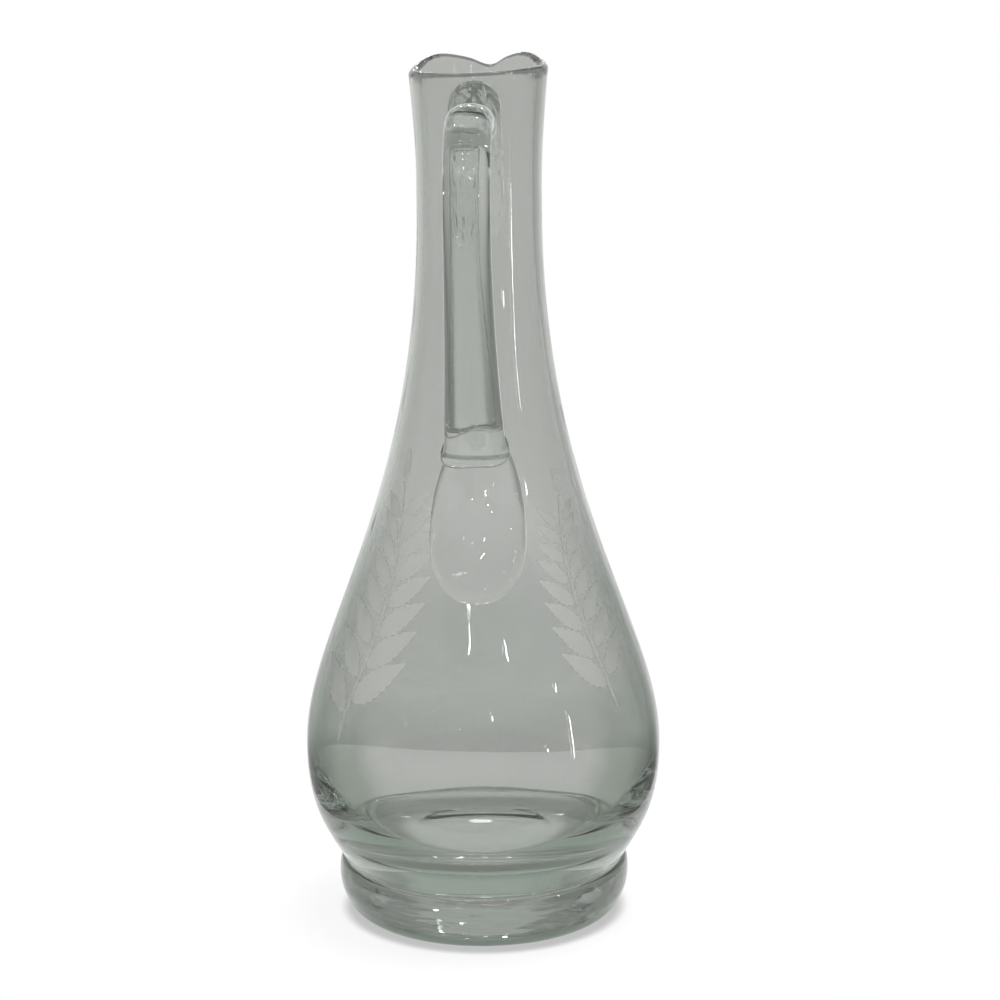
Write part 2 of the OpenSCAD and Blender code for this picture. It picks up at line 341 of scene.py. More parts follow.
def lip_curve(steps, first=1):
    """Outside of the lip from the neck to the rim."""
    rise = RIM_Z - NECK_Z
    return curve([(NECK_R, NECK_Z), (NECK_R, NECK_Z + rise * LIP_PULL[0]),
                  (RIM_R - (RIM_R - NECK_R) * LIP_PULL[1], NECK_Z + rise * LIP_PULL[2]), (RIM_R, RIM_Z)],
                 steps, first)


SKIN_TABLE = [(z, r) for r, z in skin_curve(TABLE_STEPS[0]) + lip_curve(TABLE_STEPS[1])]


def skin_r(z):
    """Outer radius of the round vessel at height z."""
    for (z0, r0), (z1, r1) in zip(SKIN_TABLE, SKIN_TABLE[1:]):
        if z <= z1:
            return r0 + (r1 - r0) * (z - z0) / (z1 - z0)
    return SKIN_TABLE[-1][1]


def lip_wall(z):
    """The wall grows thicker from the neck to the rim."""
    return NECK_WALL + (RIM_WALL - NECK_WALL) * ease((z - NECK_Z) / (RIM_Z - NECK_Z))


def lip_shape(point):
    """A point of the turned lip after the pouring lip is pulled and the lobes rise beside it."""
    x, y, z = point
    e = ease((z - NECK_Z) / (RIM_Z - NECK_Z))
    if e == 0:
        return Vector(point)
    a = math.degrees(math.atan2(y, x))
    d = (a - (90 - LIP_TURN) + 180) % 360 - 180
    lobes = [(rise, bump(d - at, spread)) for rise, at, spread in (LEFT_LOBE, RIGHT_LOBE)]
    lip = bump(d, LIP_SPREAD)
    r = math.hypot(x, y) + e * LIP_REACH * (lip - LOBE_PINCH * sum(part for rise, part in lobes))
    x, y = r * math.cos(math.radians(a)), r * math.sin(math.radians(a))
    up = sum(rise * part for rise, part in lobes) - LIP_DROP * lip + x * math.tan(math.radians(RIM_SLOPE))
    return Vector((x, y, z + e * up))


# Modelling steps

def chain(name, points):
    """A single vertex drawn out along the points."""
    bpy.ops.object.select_all(action="DESELECT")
    bpy.ops.mesh.primitive_plane_add(size=0.01)
    piece = bpy.context.active_object
    piece.name = piece.data.name = name
    bpy.ops.object.mode_set(mode="EDIT")
    bpy.ops.mesh.select_all(action="SELECT")
    bpy.ops.mesh.merge(type="CENTER")
    bpy.ops.transform.translate(value=points[0])
    for a, b in zip(points, points[1:]):
        bpy.ops.mesh.extrude_region_move(TRANSFORM_OT_translate={"value": Vector(b) - Vector(a)})
    return piece


def turned(name, profile, sides=SIDES):
    """A profile of radius and height turned round the axis."""
    piece = chain(name, [(r, 0, z) for r, z in profile])
    bpy.ops.mesh.select_all(action="SELECT")
    bpy.ops.mesh.spin(steps=sides, angle=math.tau, center=(0, 0, 0), axis=(0, 0, 1))
    bpy.ops.mesh.select_all(action="SELECT")
    bpy.ops.mesh.remove_doubles(threshold=AXIS_MERGE)
    bpy.ops.mesh.normals_make_consistent(inside=False)
    bpy.ops.object.mode_set(mode="OBJECT")
    return piece


def drawn(name, rings):
    """A ring drawn out through the other rings, with both ends closed."""
    count = len(rings[0])
    bpy.ops.object.select_all(action="DESELECT")
    bpy.ops.mesh.primitive_circle_add(vertices=count, radius=0.01)
    piece = bpy.context.active_object
    piece.name = piece.data.name = name
    bpy.ops.object.mode_set(mode="EDIT")
    bpy.ops.mesh.select_all(action="SELECT")
    mesh = bmesh.from_edit_mesh(piece.data)
    place = mesh.verts.layers.int.new("place")
    for i, v in enumerate(mesh.verts):
        v[place] = i
        v.co = rings[0][i]
    bmesh.update_edit_mesh(piece.data)
    for ring in rings[1:]:
        bpy.ops.mesh.extrude_region()
        mesh = bmesh.from_edit_mesh(piece.data)
        place = mesh.verts.layers.int["place"]
        for v in mesh.verts:
            if v.select:
                v.co = ring[v[place]]
        bmesh.update_edit_mesh(piece.data)
    bpy.ops.mesh.select_all(action="DESELECT")
    bpy.ops.mesh.select_non_manifold(extend=False)
    bpy.ops.mesh.edge_face_add()
    bpy.ops.mesh.select_all(action="SELECT")
    bpy.ops.mesh.normals_make_consistent(inside=False)
    bpy.ops.object.mode_set(mode="OBJECT")
    piece.data.attributes.remove(piece.data.attributes["place"])
    return piece


def only(piece):
    """Nothing but the piece is selected."""
    bpy.ops.object.select_all(action="DESELECT")
    piece.select_set(True)
    bpy.context.view_layer.objects.active = piece


def copy_of(piece, name, material=None):
    """A copy with its own mesh, all in one material where one is given."""
    twin = piece.copy()
    twin.data = piece.data.copy()
    twin.name = twin.data.name = name
    scene.collection.objects.link(twin)
    if material:
        twin.data.materials.clear()
        twin.data.materials.append(material)
        for f in twin.data.polygons:
            f.material_index = 0
    return twin


def cut(piece, tool, way="DIFFERENCE"):
    """piece less tool, or joined with it. The new faces take the tool's material."""
    only(piece)
    m = piece.modifiers.new("cut", "BOOLEAN")
    m.operation = way
    m.solver = "EXACT"
    m.material_mode = "TRANSFER"
    m.object = tool
    bpy.ops.object.modifier_apply(modifier=m.name)


def flat_faces(*pieces):
    """Triangles only, so that a cut leaves no folded faces."""
    for piece in pieces:
        only(piece)
        bpy.ops.object.mode_set(mode="EDIT")
        bpy.ops.mesh.select_all(action="SELECT")
        bpy.ops.mesh.quads_convert_to_tris()
        bpy.ops.object.mode_set(mode="OBJECT")


def clean_seams(piece):
    """Joins the points that cuts left on top of each other, and takes out the faces without area."""
    only(piece)
    bpy.ops.object.mode_set(mode="EDIT")
    bpy.ops.mesh.select_all(action="SELECT")
    bpy.ops.mesh.remove_doubles(threshold=SEAM_MERGE)
    bpy.ops.mesh.select_all(action="SELECT")
    bpy.ops.mesh.dissolve_degenerate(threshold=SEAM_MERGE)
    bpy.ops.object.mode_set(mode="OBJECT")
    flat_faces(piece)


def smooth(piece, angle=SHARP):
    only(piece)
    bpy.ops.object.shade_smooth_by_angle(angle=math.radians(angle))


def keep_skin(piece, clean):
    """The smooth shading of the uncut piece, laid over the cut one."""
    group = piece.vertex_groups.new(name="near_welds")
    group.add([v.index for v in piece.data.vertices if v.co.z > WELDS_ABOVE], 1.0, "REPLACE")
    only(piece)
    m = piece.modifiers.new("skin", "DATA_TRANSFER")
    m.object = clean
    m.use_loop_data = True
    m.data_types_loops = {"CUSTOM_NORMAL"}
    m.loop_mapping = "POLYINTERP_NEAREST"
    m.vertex_group = group.name
    bpy.ops.object.modifier_apply(modifier=m.name)
    piece.vertex_groups.remove(piece.vertex_groups["near_welds"])


def drop(*pieces):
    for p in pieces:
        bpy.data.objects.remove(p)


# Finishes

def node(tree, kind, **values):
    """A new node. Each value goes to an input of that name, or else to a setting."""
    n = tree.nodes.new(kind)
    for key, value in values.items():
        if key in n.inputs:
            n.inputs[key].default_value = value
        else:
            setattr(n, key, value)
    return n


def fade(t, value, low, high):
    """0 below low, 1 above high, soft between."""
    n = node(t, "ShaderNodeMapRange", interpolation_type="SMOOTHSTEP")
    n.inputs["From Min"].default_value = low
    n.inputs["From Max"].default_value = high
    t.links.new(value, n.inputs["Value"])
    return n.outputs[0]


def blend(t, factor, a, b, way="MIX"):
    """Colour a mixed with colour b. Each of the three is a value or an output."""
    n = node(t, "ShaderNodeMix", data_type="RGBA", blend_type=way)
    ends = {x.identifier: x for x in n.inputs}
    for value, socket in ((factor, ends["Factor_Float"]), (a, ends["A_Color"]), (b, ends["B_Color"])):
        if isinstance(value, tuple):
            socket.default_value = (*value, 1)
        elif isinstance(value, float):
            socket.default_value = value
        else:
            t.links.new(value, socket)
    return [x for x in n.outputs if x.identifier == "Result_Color"][0]


def weld_finish():
    """Two glasses melted into one: nothing shows where they meet."""
    m = bpy.data.materials.new("weld_inside")
    m.use_nodes = True
    t = m.node_tree
    t.nodes.clear()
    clear = node(t, "ShaderNodeBsdfTransparent")
    out = node(t, "ShaderNodeOutputMaterial")
    t.links.new(clear.outputs[0], out.inputs["Surface"])
    return m


def noise(t, where, scale):
    """Soft noise with so many swells to a metre along each axis."""
    spread = node(t, "ShaderNodeMapping")
    spread.inputs["Scale"].default_value = scale
    t.links.new(where, spread.inputs["Vector"])
    n = node(t, "ShaderNodeTexNoise", Scale=1.0, Detail=2.0)
    t.links.new(spread.outputs[0], n.inputs["Vector"])
    return n.outputs["Fac"]


def maths(t, way, a, b):
    """One sum of two values, each a number or an output."""
    n = node(t, "ShaderNodeMath", operation=way)
    for value, socket in zip((a, b), n.inputs):
        if isinstance(value, float):
            socket.default_value = value
        else:
            t.links.new(value, socket)
    return n.outputs[0]


def glass_finish(name, waves=None, clear=1.0, lumps=None, rough=0.0, level=WAVE_LEVEL, places=()):
    """Poured glass. Its grey is counted once in a look, as painted shade for the grey surroundings that it
    shows, with more painted shade in places and a painted pale edge on the pad. Its green cast grows with the
    length of glass that a ray leaves behind it. Its skin can be slightly wavy, with a lumpy place, or etched
    rough."""
    m = bpy.data.materials.new(name)
    m.use_nodes = True
    t = m.node_tree
    b = t.nodes["Principled BSDF"]
    b.inputs["Transmission Weight"].default_value = 1.0
    b.inputs["IOR"].default_value = GLASS_IOR
    b.inputs["Roughness"].default_value = rough
    path = node(t, "ShaderNodeLightPath")
    # Painted shade: the grey stands in for the grey surroundings and is laid on looks from the camera only
    painted_grey = blend(t, path.outputs["Is Camera Ray"], WHITE, tuple(clear * v for v in ROOM_SHADE_GREY))
    where = node(t, "ShaderNodeTexCoord")
    split = node(t, "ShaderNodeSeparateXYZ")
    t.links.new(where.outputs["Object"], split.inputs[0])
    # Places of painted shade, and on the pad a painted pale edge, where the glass turns away and between
    # heights
    for turn, low, high, grade, *deep in places:
        away = fade(t, node(t, "ShaderNodeLayerWeight", Blend=0.5).outputs["Facing"], *turn)
        place = maths(t, "SUBTRACT", fade(t, split.outputs["Z"], *low), fade(t, split.outputs["Z"], *high))
        place = maths(t, "MULTIPLY", path.outputs["Is Camera Ray"], place)
        for depth in deep:
            place = maths(t, "MULTIPLY", place, fade(t, split.outputs["Y"], *depth))
        dark = blend(t, maths(t, "MULTIPLY", away, place), WHITE, grade)
        painted_grey = blend(t, 1.0, painted_grey, dark, "MULTIPLY")
    side = node(t, "ShaderNodeNewGeometry")
    inside = maths(t, "MULTIPLY", path.outputs["Ray Length"], side.outputs["Backfacing"])
    # A face lets through the root of its colour, so the loss is doubled
    cast = node(t, "ShaderNodeCombineColor")
    for i, loss in enumerate(GREEN_CAST):
        t.links.new(maths(t, "POWER", math.exp(-2 * loss), inside), cast.inputs[i])
    t.links.new(blend(t, 1.0, painted_grey, cast.outputs[0], "MULTIPLY"), b.inputs["Base Color"])
    if waves:
        many, rise = waves
        height = maths(t, "MULTIPLY", noise(t, where.outputs["Object"], many),
                       fade(t, split.outputs["Z"], *level))
        if lumps:
            depth, low, high, fine, times = lumps
            place = maths(t, "MULTIPLY", fade(t, split.outputs["Y"], *depth),
                          fade(t, split.outputs["Z"], *low))
            place = maths(t, "SUBTRACT", place, fade(t, split.outputs["Z"], *high))
            place = maths(t, "MULTIPLY", maths(t, "MAXIMUM", place, 0.0), times)
            lump = maths(t, "MULTIPLY", place, noise(t, where.outputs["Object"], fine))
            height = maths(t, "ADD", height, lump)
        skin = node(t, "ShaderNodeBump", Strength=1.0, Distance=rise)
        t.links.new(height, skin.inputs["Height"])
        t.links.new(skin.outputs[0], b.inputs["Normal"])
    return m


# Pieces

def make_vessel(glass, weld):
    """The blown vessel, turned with its bore and then pulled into its lip."""
    edge_r = RIM_WALL / 2
    bottom = WAIST_Z + WELD_GAP
    skin = skin_curve(SKIN_STEPS)[1:] + lip_curve(LIP_STEPS)
    turns = [math.pi * i / RIM_STEPS for i in range(1, RIM_STEPS)]
    edge = [(RIM_R - edge_r + edge_r * math.cos(a), RIM_Z + edge_r * math.sin(a)) for a in turns]
    bore = [(r - lip_wall(z), z) for r, z in reversed(lip_curve(LIP_STEPS))]
    bore += reversed(bore_curve(SKIN_STEPS))
    profile = [(0, bottom), (WAIST_R / 2, bottom), (WAIST_R, bottom)] + skin + edge + bore
    profile += [(FLOOR_R * k / FLOOR_STEPS, FLOOR_Z) for k in range(FLOOR_STEPS - 1, -1, -1)]
    vessel = turned("vessel_glass", profile)
    for v in vessel.data.vertices:
        v.co = lip_shape(v.co)
    vessel.data.materials.append(glass)
    vessel.data.materials.append(weld)
    for f in vessel.data.polygons:
        f.material_index = 1 if f.center.z < bottom + WELD_GAP and f.normal.z < -LEVEL else 0
    smooth(vessel)
    return vessel


def make_core(weld):
    """The vessel's outer shape, drawn in by the depth of a weld, to cut the handle and the pad by."""
    skin = skin_curve(SKIN_STEPS) + lip_curve(LIP_STEPS)
    core = turned("core", [(0, WAIST_Z)] + [(r - WELD_DEPTH, z) for r, z in skin] + [(0, RIM_Z)])
    for v in core.data.vertices:
        v.co = lip_shape(v.co)
    core.data.materials.append(weld)
    return core


def make_foot(glass, weld):
    """The solid foot, with a hollow ground out underneath."""
    side = curve([(BASE_R, 0), (BASE_R + (FOOT_R - BASE_R) * FOOT_PULL, 0),
                  (FOOT_R, FOOT_BULGE_Z * FOOT_PULL), (FOOT_R, FOOT_BULGE_Z)], FOOT_STEPS[0])
    side += curve([(FOOT_R, FOOT_BULGE_Z),
                   (FOOT_R, FOOT_BULGE_Z + (WAIST_Z - FOOT_BULGE_Z) * FOOT_TOP_PULL[0]),
                   (WAIST_R + (FOOT_R - WAIST_R) * FOOT_TOP_PULL[1], WAIST_Z), (WAIST_R, WAIST_Z - WELD_GAP)],
                  FOOT_STEPS[1], 1)
    ball = (HOLLOW_R ** 2 + HOLLOW_DEPTH ** 2) / (2 * HOLLOW_DEPTH)
    hollow = []
    for i in range(HOLLOW_STEPS + 1):
        r = HOLLOW_R * i / HOLLOW_STEPS
        hollow.append((r, HOLLOW_DEPTH - ball + math.sqrt(ball * ball - r * r)))
    foot = turned("foot_glass", hollow + side + [(WAIST_R / 2, WAIST_Z - WELD_GAP), (0, WAIST_Z - WELD_GAP)])
    foot.data.materials.append(glass)
    foot.data.materials.append(weld)
    for f in foot.data.polygons:
        f.material_index = 1 if f.center.z > WAIST_Z - 2 * WELD_GAP and f.normal.z > LEVEL else 0
    smooth(foot, FOOT_SHARP)
    return foot


def rod_line():
    """Middle line of the rod, as y and z from the weld under the rim to the lower end. Its points lie
    closer at the lower end."""
    grip_y = -(NECK_R + GRIP_OUT)
    rod_y = -(skin_r(ROD_Z) - 2 * SINK)
    end_y = -(skin_r(ROD_END_Z) - 2 * SINK)
    top = [(rod_y, ROD_Z), (rod_y + (grip_y - rod_y) * BEND_PULL, ROD_Z + ROD_RISE),
           (grip_y, ROD_Z + GRIP_RISE), (grip_y, GRIP_Z)]
    fall = GRIP_Z - ROD_END_Z
    leave, reach = FALL_PULL
    side = [(grip_y, GRIP_Z), (grip_y, GRIP_Z - fall * leave),
            (grip_y + (end_y - grip_y) * reach, ROD_END_Z + fall * reach), (end_y, ROD_END_Z)]
    over, wide, close = ROD_STEPS
    start = 1 - CLOSE_PART
    steps = [start * i / wide for i in range(1, wide + 1)]
    steps += [start + CLOSE_PART * i / close for i in range(1, close + 1)]
    return curve(top, over) + [bend(side, t) for t in steps]


def filled(v, power):
    """A sine or cosine made fuller or thinner."""
    return math.copysign(abs(v) ** power, v)


def over_pad(point):
    """How far a point lies above the dome of the pad. The dome's height there is closed in on by tries."""
    r, level = math.hypot(point.x, point.y), skin_r(point.z)
    u = math.atan2(point.x, -point.y) * level - PAD_SHIFT
    lift, high = 0.5, point.z - PAD_Z - PAD_LEAN
    for i in range(PAD_TRIES):
        g = math.sqrt(max(1e-9, 1 - lift * lift))
        v = high / g + PAD_LEAN
        v, fill = (v / PAD_RISE, PAD_FILL[1]) if v > 0 else (v / PAD_DROP, PAD_FILL[0])
        reach = math.hypot(abs(u / g / (PAD_W / 2)) ** (1 / fill), v)
        lift = 0.5 * (lift + math.sqrt(max(0.0, 1 - min(1.0, g * reach) ** 2)))
    return r - level - PAD_T * lift


def make_rod(glass, weld):
    """A pulled rod that widens downwards and swells into a bead above the pad."""
    line = [Vector((0, y, z)) for y, z in rod_line()]
    rings = []
    for i, p in enumerate(line):
        ahead = (line[min(i + 1, len(line) - 1)] - line[max(i - 1, 0)]).normalized()
        side = Vector((0, -ahead.z, ahead.y))
        w = ROD_W + ROD_W_GROW * max(0.0, (GRIP_Z - p.z) / (GRIP_Z - ROD_END_Z)) ** 2
        ring = []
        for k in range(ROD_SIDES):
            a = math.tau * k / ROD_SIDES
            q = p + Vector((w / 2 * filled(math.cos(a), ROD_FILL), 0, 0))
            q += side * (ROD_T / 2 * filled(math.sin(a), ROD_FILL))
            high = 2 * over_pad(q) / BEAD_HEIGHT - 1
            if p.z < BEAD_BELOW and abs(high) < 1:
                q += (q - p).normalized() * BEAD_OUT * math.sqrt(1 - high * high)
            ring.append(q)
        rings.append(ring)
    rod = drawn("handle_glass", rings)
    rod.data.materials.append(glass)
    rod.data.materials.append(weld)
    return rod


def weld_outline():
    """Outline of the weld on the vessel's skin, as points sideways along the skin and up."""
    round_steps, side_steps = WELD_STEPS
    top = [math.pi * (1 - k / round_steps) for k in range(round_steps + 1)]
    low = [-math.pi * k / round_steps for k in range(round_steps + 1)]
    sides = [k / side_steps for k in range(1, side_steps)]
    right = [(0.5 * (WELD_W + (WELD_LOW_W - WELD_W) * t), WELD_Z + (WELD_LOW_Z - WELD_Z) * t) for t in sides]
    return ([(WELD_W / 2 * math.cos(a), WELD_Z + WELD_W / 2 * math.sin(a)) for a in top] + right
            + [(WELD_LOW_W / 2 * math.cos(a), WELD_LOW_Z + WELD_DROP * math.sin(a)) for a in low]
            + [(-s, z) for s, z in reversed(right)])


def pad_outline():
    """Outline of the pad on the vessel's skin, as points sideways along the skin and up."""
    points = []
    for k in range(PAD_SIDES):
        a = -math.tau * k / PAD_SIDES
        up = math.sin(a) > 0
        points.append((PAD_SHIFT + PAD_W / 2 * filled(math.cos(a), PAD_FILL[up]),
                       PAD_Z + (PAD_RISE if up else PAD_DROP) * math.sin(a)))
    return points


def weld_thick(z):
    """The weld thins out down its tail."""
    return WELD_T * (1 - WELD_THIN * ease((ROD_Z - z) / (ROD_Z - WELD_LOW_Z)))


def on_skin(turn, s, z, h):
    """A point over the vessel's skin at height z, s along the skin sideways from the line at turn."""
    r = skin_r(z)
    a = math.radians(turn) + s / r
    return Vector(((r + h) * math.sin(a), -(r + h) * math.cos(a), z))


def make_dome(name, outline, summit, thick, glass, weld, shrink=0.0):
    """A dome laid over the vessel, with its back let into the wall. It can be shrunk a little."""
    back = DOME_STEPS + 1
    rings = []
    for j in range(1, back + 1):
        g = min(1, j / DOME_STEPS) * math.pi / 2
        ring = []
        for q in outline:
            out = Vector(q) - Vector(summit)
            s, z = Vector(summit) + out * (1 - shrink / out.length) * math.sin(g)
            ring.append(on_skin(0, s, z, -SINK if j == back else (thick(z) - shrink) * math.cos(g)))
        rings.append(ring)
    piece = drawn(name, rings)
    piece.data.materials.append(glass)
    piece.data.materials.append(weld)
    smooth(piece)
    return piece


def make_pad(name, glass, weld, shrink=0.0):
    """The thumb-shaped pad, with its summit off its middle."""
    return make_dome(name, pad_outline(), (PAD_SHIFT, PAD_Z + PAD_LEAN), lambda z: PAD_T, glass, weld, shrink)


def make_leaf():
    """A flat leaf with a notched edge, one unit long and thick."""
    rings = []
    for i in range(LEAF_STEPS + 1):
        t = i / LEAF_STEPS
        w = LEAF_STALK + LEAF_W * math.sin(math.pi * t ** LEAF_TAPER) * (1.0 if i % 2 else LEAF_NOTCH)
        rings.append([Vector((t, k * w, h)) for k, h in ((-1, 0), (-1, 1), (0, 1), (1, 1), (1, 0), (0, 0))])
    return drawn("leaf", rings)


def lay_leaf(leaf, name, turn, start, lean, length):
    """A copy of the leaf laid on the skin, bent a little along its length."""
    twin = copy_of(leaf, name)
    c, n = math.cos(math.radians(lean)), math.sin(math.radians(lean))
    for v in twin.data.vertices:
        u, w, h = v.co
        w += math.copysign(LEAF_BEND, -lean) * u * (1 - u)
        v.co = on_skin(turn, start[0] + length * (u * n + w * c), start[1] + length * (u * c - w * n),
                       h * (ETCH_OUT + ETCH_IN) - ETCH_IN)
    return twin


def make_spray(name, leaf, turn, foot, sway, length, finish):
    """An etched stem with pairs of leaves that get smaller upwards."""
    lengths = [length * LEAF_LESS ** k for k in range(LEAF_PAIRS + 1)]
    tip = foot + LEAF_STEP * sum(lengths)
    low = foot - LEAF_STEP * length

    def stem(z):
        return sway * math.sin(math.pi * (z - foot) / (tip - foot))

    rings = []
    for i in range(STEM_STEPS + 1):
        z = low + (tip - low) * i / STEM_STEPS
        rings.append([on_skin(turn, stem(z) + k * STEM_W, z, h)
                      for k, h in ((-1, -ETCH_IN), (-1, ETCH_OUT), (1, ETCH_OUT), (1, -ETCH_IN))])
    spray = drawn(name, rings)
    parts, z = [], foot
    for size in lengths[:-1]:
        for hand in (-1, 1):
            at = z + hand * LEAF_STAGGER * size
            parts.append(lay_leaf(leaf, "leaf_%d" % len(parts), turn, (stem(at) + hand * LEAF_OFF, at),
                                  hand * LEAF_TURN, size))
        z += LEAF_STEP * size
    parts.append(lay_leaf(leaf, "leaf_tip", turn, (stem(tip), tip + TIP_OFF), 0.0, lengths[-1]))
    only(spray)
    for part in parts:
        part.select_set(True)
    bpy.ops.object.join()
    bpy.ops.object.mode_set(mode="EDIT")
    bpy.ops.mesh.select_all(action="SELECT")
    bpy.ops.mesh.normals_make_consistent(inside=False)
    bpy.ops.object.mode_set(mode="OBJECT")
    spray.data.materials.clear()
    spray.data.materials.append(finish)
    return spray


weld = weld_finish()
# Each glass gets its painted grey and its places of painted shade; the pad's edge gets painted light
vessel_glass = glass_finish("vessel_glass", VESSEL_WAVES, lumps=RIM_LUMPS,
                            places=[THICK_VESSEL_SHADE, BOWL_PAINTED_SHADE, BOWL_EDGE_PAINTED_SHADE])
foot_glass = glass_finish("foot_glass", FOOT_WAVES, FOOT_PAINTED_GREY, level=ALWAYS, places=[THICK_FOOT_SHADE])
handle_glass = glass_finish("handle_glass", ROD_WAVES, ROD_PAINTED_GREY, WELD_LUMPS,
                            places=[THICK_ROD_SHADE, GROOVE_PAINTED_SHADE, WELD_TOP_PAINTED_SHADE])
pad_glass = glass_finish("pad_glass", PAD_WAVES, places=[PAD_EDGE_PAINTED_LIGHT])
etched = glass_finish("etched_glass", clear=ETCH_PAINTED_GREY, rough=ETCH_ROUGH)

vessel = make_vessel(vessel_glass, weld)
foot = make_foot(foot_glass, weld)
handle = make_rod(handle_glass, weld)
tail = make_dome("tail", weld_outline(), (0, ROD_Z), weld_thick, handle_glass, weld)
flat_faces(vessel, handle, tail)
cut(handle, tail, "UNION")
smooth(handle)
pad = make_pad("handle_pad_glass", pad_glass, weld)
core = make_core(weld)
pad_core = make_pad("pad_core", weld, weld, WELD_DEPTH)

# The rod is seated in the pad, and both in the vessel. The uncut pieces are kept for their smooth skin
flat_faces(handle, pad, core, pad_core)
clean_vessel = copy_of(vessel, "clean_vessel")
clean_rod = copy_of(handle, "clean_rod")
clean_pad = copy_of(pad, "clean_pad")
cut(handle, pad_core)
seat_tool = copy_of(handle, "seat_tool", weld)
cut(pad, core)
cut(handle, core)
rod_tool = copy_of(handle, "rod_tool", weld)
pad_tool = copy_of(pad, "pad_tool", weld)
cut(pad, seat_tool)
cut(vessel, rod_tool)
cut(vessel, pad_tool)
for piece, clean in ((vessel, clean_vessel), (handle, clean_rod), (pad, clean_pad)):
    clean_seams(piece)
    smooth(piece)
    keep_skin(piece, clean)
drop(core, tail, pad_core, seat_tool, rod_tool, pad_tool, clean_vessel, clean_rod, clean_pad)

for piece, cad_node, slot in ((vessel, "vessel", "vessel_glass"), (foot, "foot", "foot_glass"),
                              (handle, "handle", "handle_glass"), (pad, "handle_pad", "pad_glass")):
    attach(piece, "root")
    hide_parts(cad_node)

leaf = make_leaf()
for name, spray in zip(("left_spray", "right_spray"), SPRAYS):
    piece = make_spray(name, leaf, *spray, etched)
    smooth(piece)
    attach(piece, "root")
drop(leaf)


# Stage

def seen(t):
    """Two switches: one for rays from the camera, and one for all rays that look, from the camera,
    off a gloss or through a glass. Light that is only gathered turns on neither."""
    path = node(t, "ShaderNodeLightPath").outputs
    gloss = maths(t, "MAXIMUM", path["Is Camera Ray"], path["Is Glossy Ray"])
    return path["Is Camera Ray"], maths(t, "MAXIMUM", gloss, path["Is Transmission Ray"])


def make_floor():
    """A pale floor that the camera, gloss and glass all see alike. It keeps the shadow, with a painted
    contact shadow in a ring under the foot's edge and painted light inside the ring.
    """
    bpy.ops.object.select_all(action="DESELECT")
    bpy.ops.mesh.primitive_plane_add(size=1, location=(0, 0, 0))
    floor = bpy.context.active_object
    floor.name = "floor"
    bpy.ops.object.mode_set(mode="EDIT")
    bpy.ops.transform.resize(value=(2 * STAGE_SIDE, STAGE_FAR - STAGE_NEAR, 1))
    bpy.ops.transform.translate(value=(0, (STAGE_FAR + STAGE_NEAR) / 2, -STAGE_GAP))
    bpy.ops.object.mode_set(mode="OBJECT")
    m = bpy.data.materials.new("pale_floor_painted_shadow")
    m.use_nodes = True
    t = m.node_tree
    t.nodes.clear()
    plain = node(t, "ShaderNodeBsdfDiffuse", Color=(STAGE_SHADE, STAGE_SHADE, STAGE_SHADE, 1))
    lift = node(t, "ShaderNodeEmission", Color=(1, 1, 1, 1))
    add = node(t, "ShaderNodeAddShader")
    out = node(t, "ShaderNodeOutputMaterial")
    where = node(t, "ShaderNodeTexCoord")
    far = node(t, "ShaderNodeVectorMath", operation="LENGTH")
    t.links.new(where.outputs["Object"], far.inputs[0])
    # Painted contact shadow in a ring under the foot's edge, and painted light inside it
    outer = fade(t, far.outputs["Value"], *SHADOW_RING_IN)
    ring = maths(t, "SUBTRACT", outer, fade(t, far.outputs["Value"], *SHADOW_RING_OUT))
    tone = maths(t, "SUBTRACT", CENTRE_LIGHT_TONE, maths(t, "MULTIPLY", outer, CENTRE_LIGHT_TONE - 1.0))
    tone = maths(t, "SUBTRACT", tone, maths(t, "MULTIPLY", ring, 1 - SHADOW_RING_TONE))
    tone = maths(t, "MULTIPLY", tone, STAGE_LIFT)
    looks = seen(t)[1]
    t.links.new(maths(t, "MULTIPLY", looks, tone), lift.inputs["Strength"])
    t.links.new(plain.outputs[0], add.inputs[0])
    t.links.new(lift.outputs[0], add.inputs[1])
    t.links.new(add.outputs[0], out.inputs["Surface"])
    floor.data.materials.append(m)


def grey(v):
    """A grey of the studio, with a trace of green."""
    return (v, v * GREY_GREEN, v)


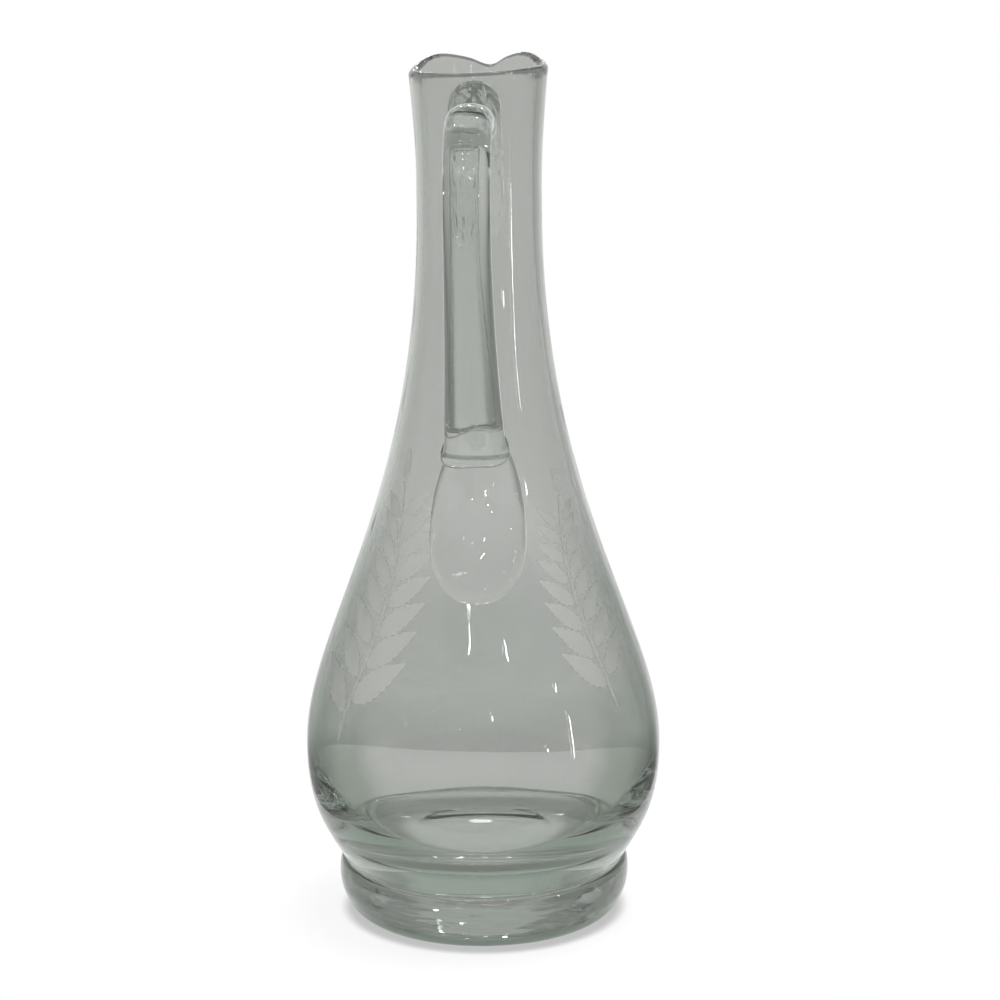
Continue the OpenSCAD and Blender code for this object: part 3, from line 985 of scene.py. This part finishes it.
def make_surround():
    """A soft grey studio: a white back, grey sides and a dark front, darker low down, with a pale ceiling."""
    world = bpy.data.worlds.new("surround")
    scene.world = world
    world.use_nodes = True
    t = world.node_tree
    t.nodes.clear()
    where = node(t, "ShaderNodeTexCoord")
    split = node(t, "ShaderNodeSeparateXYZ")
    t.links.new(where.outputs["Generated"], split.inputs[0])
    across, depth, height = (split.outputs[k] for k in "XYZ")
    aside = node(t, "ShaderNodeMath", operation="ABSOLUTE")
    t.links.new(across, aside.inputs[0])
    tone = blend(t, fade(t, depth, *BACK_EDGE), grey(SIDES_TONE), grey(1.0))
    tone = blend(t, fade(t, depth, *FRONT_EDGE), grey(FRONT_TONE), tone)
    tone = blend(t, 1.0, tone, blend(t, fade(t, across, *ACROSS), grey(1.0), grey(RIGHT_TONE)), "MULTIPLY")
    low = blend(t, fade(t, aside.outputs[0], *LOW_ACROSS), grey(LOW_TONE), grey(LOW_SIDES_TONE))
    tone = blend(t, fade(t, height, *LOW_EDGE), blend(t, 1.0, tone, low, "MULTIPLY"), tone)
    tone = blend(t, fade(t, height, *TOP_EDGE), tone, grey(TOP_TONE))
    corner = maths(t, "MAXIMUM", fade(t, depth, *CORNER_DEPTH), fade(t, across, *CORNER_ACROSS))
    tone = blend(t, fade(t, height, *SKY_EDGE), tone, blend(t, corner, grey(CORNER_TONE), grey(SKY_TONE)))
    tone = blend(t, fade(t, height, *UNDER_EDGE), grey(UNDER_TONE), tone)
    fold = fade(t, noise(t, where.outputs["Generated"], FOLDS), *FOLD_EDGE)
    tone = blend(t, 1.0, tone, blend(t, fold, grey(FOLD_TONE), grey(1.0)), "MULTIPLY")
    tone = blend(t, fade(t, depth, *BEHIND_EDGE), tone, WHITE)
    camera, looks = seen(t)
    shown = blend(t, looks, grey(LIGHT_LEVEL), tone)
    colour = blend(t, camera, shown, WHITE)
    back = node(t, "ShaderNodeBackground", Strength=1.0)
    out = node(t, "ShaderNodeOutputWorld")
    t.links.new(colour, back.inputs["Color"])
    t.links.new(back.outputs[0], out.inputs["Surface"])


def lamp(name, place, aim, size, watts, tall=0.0):
    """A round lamp, or an upright one where it is given a height."""
    data = bpy.data.lights.new(name, "AREA")
    data.shape = "RECTANGLE" if tall else "DISK"
    data.size = size
    if tall:
        data.size_y = tall
    data.energy = watts
    o = bpy.data.objects.new(name, data)
    scene.collection.objects.link(o)
    o.location = place
    o.rotation_euler = (Vector(aim) - Vector(place)).to_track_quat("-Z", "Y").to_euler()
    return o


def lamp_place(turn, rise):
    """A place round the carafe, from a turn from the handle's side and a rise."""
    turn, rise = math.radians(turn), math.radians(rise)
    out = Vector((math.cos(rise) * math.sin(turn), -math.cos(rise) * math.cos(turn), math.sin(rise)))
    return out * LAMP_REACH + Vector(LAMP_AIM)


def make_camera():
    turn, pitch = math.radians(CAMERA_TURN), math.radians(CAMERA_PITCH)
    data = bpy.data.cameras.new("camera")
    data.sensor_width = CAMERA_SENSOR
    data.lens = CAMERA_SENSOR * CAMERA_FOCAL
    cam = bpy.data.objects.new("camera", data)
    scene.collection.objects.link(cam)
    cam.location = (CAMERA_REACH * math.sin(turn), -CAMERA_REACH * math.cos(turn), CAMERA_HEIGHT)
    look = Quaternion((0, 0, 1), turn) @ Quaternion((1, 0, 0), math.pi / 2 - pitch)
    pan = Quaternion((0, 1, 0), -math.atan(CAMERA_PAN / CAMERA_FOCAL))
    roll = Quaternion((0, 0, 1), -math.atan(CAMERA_ROLL))
    cam.rotation_mode = "QUATERNION"
    cam.rotation_quaternion = look @ pan @ roll
    scene.camera = cam


make_floor()
make_surround()
key = lamp("key", KEY_PLACE, KEY_AIM, KEY_SIZE, KEY_WATTS)
key.visible_glossy = key.visible_transmission = False
for i, (turn, rise) in enumerate(SPOTS):
    watts = HIGH_WATTS if rise > HIGH_RISE else SPOT_WATTS
    lamp("spot_%d" % i, lamp_place(turn, rise), LAMP_AIM, SPOT_SIZE, watts)
lamp("streak", lamp_place(*STREAK), LAMP_AIM, STREAK_SIZE[0], STREAK_WATTS, STREAK_SIZE[1])
make_camera()

scene.cycles.max_bounces = 32
scene.cycles.transmission_bounces = 32
scene.cycles.glossy_bounces = 16
scene.cycles.transparent_max_bounces = 48
